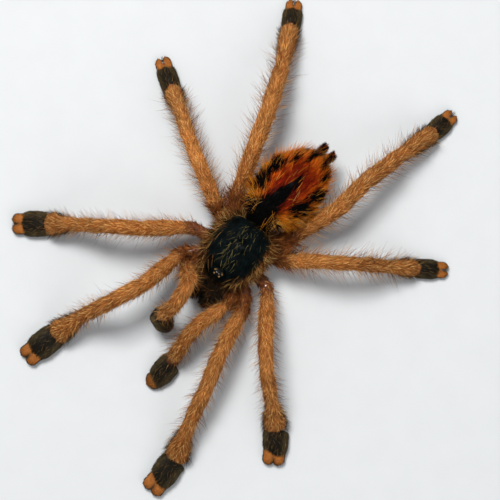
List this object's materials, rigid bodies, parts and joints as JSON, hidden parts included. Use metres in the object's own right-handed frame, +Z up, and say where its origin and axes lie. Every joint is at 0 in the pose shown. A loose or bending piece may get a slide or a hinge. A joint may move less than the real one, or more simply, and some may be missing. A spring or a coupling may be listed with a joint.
{
  "type": "tarantula",
  "caption": "Young pinktoe tarantula standing flat with spread legs, a dark carapace, a red-orange abdomen and dark feet with orange toe pads, as a still life-size model.",
  "frame": {"origin": "on the floor below the middle of the part's box", "axes": "+Z up; the spider faces -Y; +X is its left side"},
  "size_m": [0.045, 0.058, 0.0084],
  "materials": {
    "leg": "short golden-brown hair lying along the limb",
    "foot": "dense dark velvet pad with orange toe pads",
    "carapace": "short dark hair with a faint green sheen",
    "abdomen": "long red-orange hair with a dark stripe and side patches",
    "underside": "brown short hair",
    "jaw": "dark brown hair",
    "fang": "polished dark horn",
    "eye": "wet dark gloss"
  },
  "bodies": {
    "root": {"abdomen": "abdomen", "carapace": "carapace", "chelicera_left": "jaw", "chelicera_right": "jaw", "eye_mound": "eye", "fang_left": "fang", "fang_right": "fang", "leg1_left_femur": "leg", "leg1_left_metatarsus": "leg", "leg1_left_patella": "leg", "leg1_left_tarsus": "foot", "leg1_left_tibia": "leg", "leg1_right_femur": "leg", "leg1_right_metatarsus": "leg", "leg1_right_patella": "leg", "leg1_right_tarsus": "foot", "leg1_right_tibia": "leg", "leg2_left_femur": "leg", "leg2_left_metatarsus": "leg", "leg2_left_patella": "leg", "leg2_left_tarsus": "foot", "leg2_left_tibia": "leg", "leg2_right_femur": "leg", "leg2_right_metatarsus": "leg", "leg2_right_patella": "leg", "leg2_right_tarsus": "foot", "leg2_right_tibia": "leg", "leg3_left_femur": "leg", "leg3_left_metatarsus": "leg", "leg3_left_patella": "leg", "leg3_left_tarsus": "foot", "leg3_left_tibia": "leg", "leg3_right_femur": "leg", "leg3_right_metatarsus": "leg", "leg3_right_patella": "leg", "leg3_right_tarsus": "foot", "leg3_right_tibia": "leg", "leg4_left_femur": "leg", "leg4_left_metatarsus": "leg", "leg4_left_patella": "leg", "leg4_left_tarsus": "foot", "leg4_left_tibia": "leg", "leg4_right_femur": "leg", "leg4_right_metatarsus": "leg", "leg4_right_patella": "leg", "leg4_right_tarsus": "foot", "leg4_right_tibia": "leg", "palp_left_femur": "leg", "palp_left_patella": "leg", "palp_left_tarsus": "foot", "palp_left_tibia": "leg", "palp_right_femur": "leg", "palp_right_patella": "leg", "palp_right_tarsus": "foot", "palp_right_tibia": "leg", "pedicel": "underside", "spinneret_left": "jaw", "spinneret_right": "jaw", "sternum_and_coxae": "underside"}
  },
  "joints": []
}
